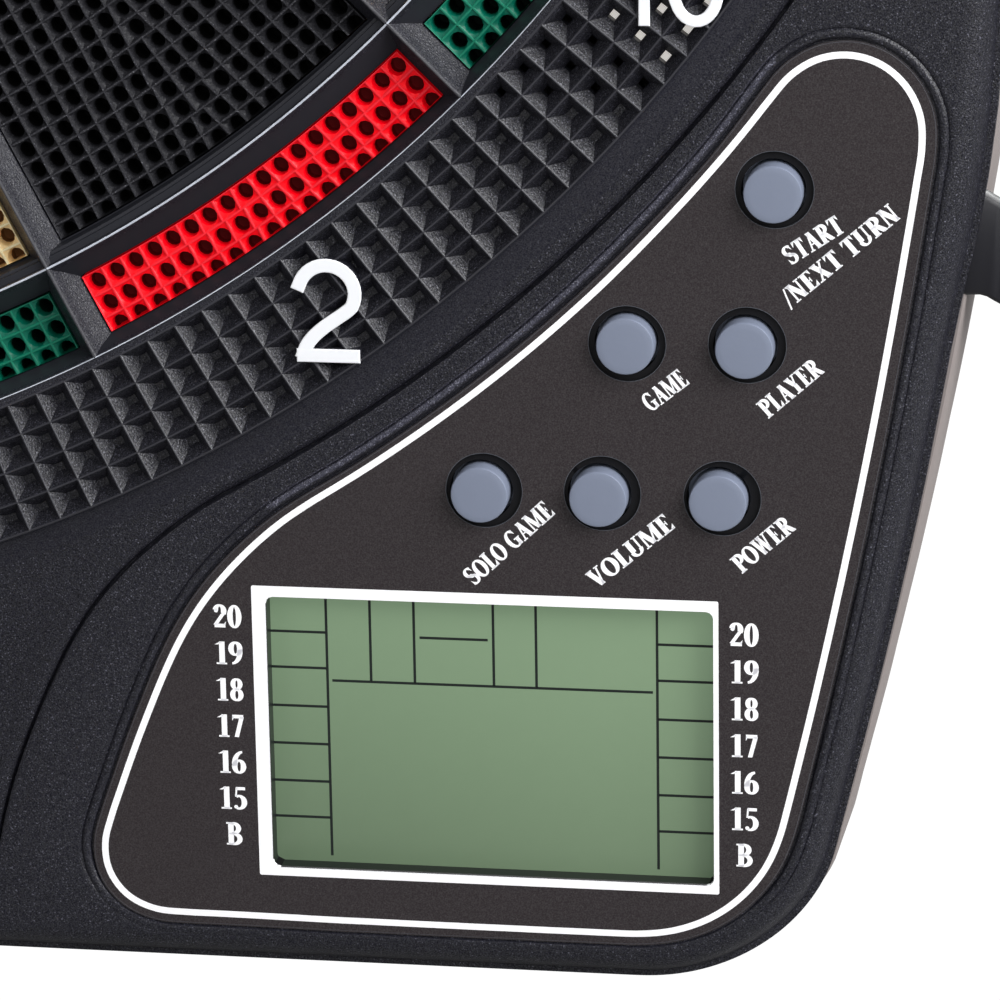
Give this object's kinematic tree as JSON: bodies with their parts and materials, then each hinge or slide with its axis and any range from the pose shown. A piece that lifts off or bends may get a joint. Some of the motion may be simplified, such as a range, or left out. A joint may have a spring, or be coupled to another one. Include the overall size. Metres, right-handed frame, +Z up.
{
  "type": "electronic dartboard",
  "caption": "Wall-hung electronic dartboard with a round segmented target, waffle number ring, corner control panel with display and side dart holders.",
  "frame": {"origin": "the bull's centre line where it meets the flat rear face that goes against the wall", "axes": "+X to the player's right, +Z up the board, -Y out of the target towards the player"},
  "size_m": [0.476, 0.036, 0.4943],
  "materials": {
    "housing_black": "fine spark-textured black ABS with softened edges",
    "spider_black": "black polypropylene, satin ridges and grained facets",
    "segment_black": "black nylon, satin",
    "segment_red": "red nylon, satin gloss",
    "segment_green": "green nylon, satin gloss",
    "segment_cream": "cream nylon, satin",
    "overlay_print": "printed dark brown-grey film with white print",
    "lcd_screen": "grey-green reflective display",
    "button_grey": "blue-grey soft button cap",
    "rear_grey": "warm grey ABS, light grain",
    "board_green": "solder-masked circuit board",
    "film": "printed switch film",
    "foam": "dense foam backing",
    "rubber_grey": "silicone keypad",
    "speaker_paper": "pale cloth-faced speaker",
    "cell_jacket": "plain printed cell jacket",
    "spring_steel": "nickel-plated spring strip",
    "screw_zinc": "zinc-plated screw",
    "holder_black": "black moulded plastic"
  },
  "bodies": {
    "housing": {"front_housing": "housing_black", "target_spider": "spider_black", "rear_cover": "rear_grey", "panel_overlay": "overlay_print", "lcd_module": "lcd_screen", "keypad_mat": "rubber_grey", "circuit_board": "board_green", "speaker": "speaker_paper", "sensor_membrane": "film", "backing_pad": "foam", "battery_1": "cell_jacket", "battery_2": "cell_jacket", "battery_3": "cell_jacket", "battery_contact_strip": "spring_steel", "rear_screw_1": "screw_zinc", "rear_screw_2": "screw_zinc", "rear_screw_3": "screw_zinc", "rear_screw_4": "screw_zinc", "rear_screw_5": "screw_zinc", "rear_screw_6": "screw_zinc", "dart_holder_right": "holder_black", "dart_holder_left": "holder_black"},
    "segments_20_body": {"segments_20": "segment_black"},
    "segments_1_body": {"segments_1": "segment_cream"},
    "segments_18_body": {"segments_18": "segment_black"},
    "segments_4_body": {"segments_4": "segment_cream"},
    "segments_13_body": {"segments_13": "segment_black"},
    "segments_6_body": {"segments_6": "segment_cream"},
    "segments_10_body": {"segments_10": "segment_black"},
    "single_inner_15_body": {"single_inner_15": "segment_cream"},
    "treble_15_body": {"treble_15": "segment_green"},
    "single_outer_15_body": {"single_outer_15": "segment_cream"},
    "double_15_body": {"double_15": "segment_green"},
    "single_inner_2_body": {"single_inner_2": "segment_black"},
    "treble_2_body": {"treble_2": "segment_red"},
    "single_outer_2_body": {"single_outer_2": "segment_black"},
    "double_2_body": {"double_2": "segment_red"},
    "single_inner_17_body": {"single_inner_17": "segment_cream"},
    "treble_17_body": {"treble_17": "segment_green"},
    "single_outer_17_body": {"single_outer_17": "segment_cream"},
    "double_17_body": {"double_17": "segment_green"},
    "segments_3_body": {"segments_3": "segment_black"},
    "segments_19_body": {"segments_19": "segment_cream"},
    "segments_7_body": {"segments_7": "segment_black"},
    "segments_16_body": {"segments_16": "segment_cream"},
    "segments_8_body": {"segments_8": "segment_black"},
    "segments_11_body": {"segments_11": "segment_cream"},
    "segments_14_body": {"segments_14": "segment_black"},
    "segments_9_body": {"segments_9": "segment_cream"},
    "segments_12_body": {"segments_12": "segment_black"},
    "segments_5_body": {"segments_5": "segment_cream"},
    "bull_outer_body": {"bull_outer": "segment_green"},
    "bull_inner_body": {"bull_inner": "segment_red"},
    "button_start_body": {"button_start": "button_grey"},
    "button_game_body": {"button_game": "button_grey"},
    "button_player_body": {"button_player": "button_grey"},
    "button_solo_body": {"button_solo": "button_grey"},
    "button_sound_body": {"button_sound": "button_grey"},
    "button_power_body": {"button_power": "button_grey"},
    "battery_door_body": {"battery_door": "rear_grey"}
  },
  "joints": [
    {"name": "segments_20_press", "type": "slide", "parent": "housing", "child": "segments_20_body", "axis": [0, 1, 0], "range_m": [0, 0.0012], "stiffness_N_per_m": 1500},
    {"name": "segments_1_press", "type": "slide", "parent": "housing", "child": "segments_1_body", "axis": [0, 1, 0], "range_m": [0, 0.0012], "stiffness_N_per_m": 1500},
    {"name": "segments_18_press", "type": "slide", "parent": "housing", "child": "segments_18_body", "axis": [0, 1, 0], "range_m": [0, 0.0012], "stiffness_N_per_m": 1500},
    {"name": "segments_4_press", "type": "slide", "parent": "housing", "child": "segments_4_body", "axis": [0, 1, 0], "range_m": [0, 0.0012], "stiffness_N_per_m": 1500},
    {"name": "segments_13_press", "type": "slide", "parent": "housing", "child": "segments_13_body", "axis": [0, 1, 0], "range_m": [0, 0.0012], "stiffness_N_per_m": 1500},
    {"name": "segments_6_press", "type": "slide", "parent": "housing", "child": "segments_6_body", "axis": [0, 1, 0], "range_m": [0, 0.0012], "stiffness_N_per_m": 1500},
    {"name": "segments_10_press", "type": "slide", "parent": "housing", "child": "segments_10_body", "axis": [0, 1, 0], "range_m": [0, 0.0012], "stiffness_N_per_m": 1500},
    {"name": "single_inner_15_press", "type": "slide", "parent": "housing", "child": "single_inner_15_body", "axis": [0, 1, 0], "range_m": [0, 0.0012], "stiffness_N_per_m": 1500},
    {"name": "treble_15_press", "type": "slide", "parent": "housing", "child": "treble_15_body", "axis": [0, 1, 0], "range_m": [0, 0.0012], "stiffness_N_per_m": 1500},
    {"name": "single_outer_15_press", "type": "slide", "parent": "housing", "child": "single_outer_15_body", "axis": [0, 1, 0], "range_m": [0, 0.0012], "stiffness_N_per_m": 1500},
    {"name": "double_15_press", "type": "slide", "parent": "housing", "child": "double_15_body", "axis": [0, 1, 0], "range_m": [0, 0.0012], "stiffness_N_per_m": 1500},
    {"name": "single_inner_2_press", "type": "slide", "parent": "housing", "child": "single_inner_2_body", "axis": [0, 1, 0], "range_m": [0, 0.0012], "stiffness_N_per_m": 1500},
    {"name": "treble_2_press", "type": "slide", "parent": "housing", "child": "treble_2_body", "axis": [0, 1, 0], "range_m": [0, 0.0012], "stiffness_N_per_m": 1500},
    {"name": "single_outer_2_press", "type": "slide", "parent": "housing", "child": "single_outer_2_body", "axis": [0, 1, 0], "range_m": [0, 0.0012], "stiffness_N_per_m": 1500},
    {"name": "double_2_press", "type": "slide", "parent": "housing", "child": "double_2_body", "axis": [0, 1, 0], "range_m": [0, 0.0012], "stiffness_N_per_m": 1500},
    {"name": "single_inner_17_press", "type": "slide", "parent": "housing", "child": "single_inner_17_body", "axis": [0, 1, 0], "range_m": [0, 0.0012], "stiffness_N_per_m": 1500},
    {"name": "treble_17_press", "type": "slide", "parent": "housing", "child": "treble_17_body", "axis": [0, 1, 0], "range_m": [0, 0.0012], "stiffness_N_per_m": 1500},
    {"name": "single_outer_17_press", "type": "slide", "parent": "housing", "child": "single_outer_17_body", "axis": [0, 1, 0], "range_m": [0, 0.0012], "stiffness_N_per_m": 1500},
    {"name": "double_17_press", "type": "slide", "parent": "housing", "child": "double_17_body", "axis": [0, 1, 0], "range_m": [0, 0.0012], "stiffness_N_per_m": 1500},
    {"name": "segments_3_press", "type": "slide", "parent": "housing", "child": "segments_3_body", "axis": [0, 1, 0], "range_m": [0, 0.0012], "stiffness_N_per_m": 1500},
    {"name": "segments_19_press", "type": "slide", "parent": "housing", "child": "segments_19_body", "axis": [0, 1, 0], "range_m": [0, 0.0012], "stiffness_N_per_m": 1500},
    {"name": "segments_7_press", "type": "slide", "parent": "housing", "child": "segments_7_body", "axis": [0, 1, 0], "range_m": [0, 0.0012], "stiffness_N_per_m": 1500},
    {"name": "segments_16_press", "type": "slide", "parent": "housing", "child": "segments_16_body", "axis": [0, 1, 0], "range_m": [0, 0.0012], "stiffness_N_per_m": 1500},
    {"name": "segments_8_press", "type": "slide", "parent": "housing", "child": "segments_8_body", "axis": [0, 1, 0], "range_m": [0, 0.0012], "stiffness_N_per_m": 1500},
    {"name": "segments_11_press", "type": "slide", "parent": "housing", "child": "segments_11_body", "axis": [0, 1, 0], "range_m": [0, 0.0012], "stiffness_N_per_m": 1500},
    {"name": "segments_14_press", "type": "slide", "parent": "housing", "child": "segments_14_body", "axis": [0, 1, 0], "range_m": [0, 0.0012], "stiffness_N_per_m": 1500},
    {"name": "segments_9_press", "type": "slide", "parent": "housing", "child": "segments_9_body", "axis": [0, 1, 0], "range_m": [0, 0.0012], "stiffness_N_per_m": 1500},
    {"name": "segments_12_press", "type": "slide", "parent": "housing", "child": "segments_12_body", "axis": [0, 1, 0], "range_m": [0, 0.0012], "stiffness_N_per_m": 1500},
    {"name": "segments_5_press", "type": "slide", "parent": "housing", "child": "segments_5_body", "axis": [0, 1, 0], "range_m": [0, 0.0012], "stiffness_N_per_m": 1500},
    {"name": "bull_outer_press", "type": "slide", "parent": "housing", "child": "bull_outer_body", "axis": [0, 1, 0], "range_m": [0, 0.0012], "stiffness_N_per_m": 1500},
    {"name": "bull_inner_press", "type": "slide", "parent": "housing", "child": "bull_inner_body", "axis": [0, 1, 0], "range_m": [0, 0.0012], "stiffness_N_per_m": 1500},
    {"name": "button_start_press", "type": "slide", "parent": "housing", "child": "button_start_body", "axis": [0, 1, 0], "range_m": [0, 0.001], "stiffness_N_per_m": 1500},
    {"name": "button_game_press", "type": "slide", "parent": "housing", "child": "button_game_body", "axis": [0, 1, 0], "range_m": [0, 0.001], "stiffness_N_per_m": 1500},
    {"name": "button_player_press", "type": "slide", "parent": "housing", "child": "button_player_body", "axis": [0, 1, 0], "range_m": [0, 0.001], "stiffness_N_per_m": 1500},
    {"name": "button_solo_press", "type": "slide", "parent": "housing", "child": "button_solo_body", "axis": [0, 1, 0], "range_m": [0, 0.001], "stiffness_N_per_m": 1500},
    {"name": "button_sound_press", "type": "slide", "parent": "housing", "child": "button_sound_body", "axis": [0, 1, 0], "range_m": [0, 0.001], "stiffness_N_per_m": 1500},
    {"name": "button_power_press", "type": "slide", "parent": "housing", "child": "button_power_body", "axis": [0, 1, 0], "range_m": [0, 0.001], "stiffness_N_per_m": 1500},
    {"name": "battery_door_hinge", "type": "hinge", "parent": "housing", "child": "battery_door_body", "pos_m": [-0.13975, 0, -0.2456], "axis": [1, 0, 0], "range_deg": [-110, 0]}
  ]
}
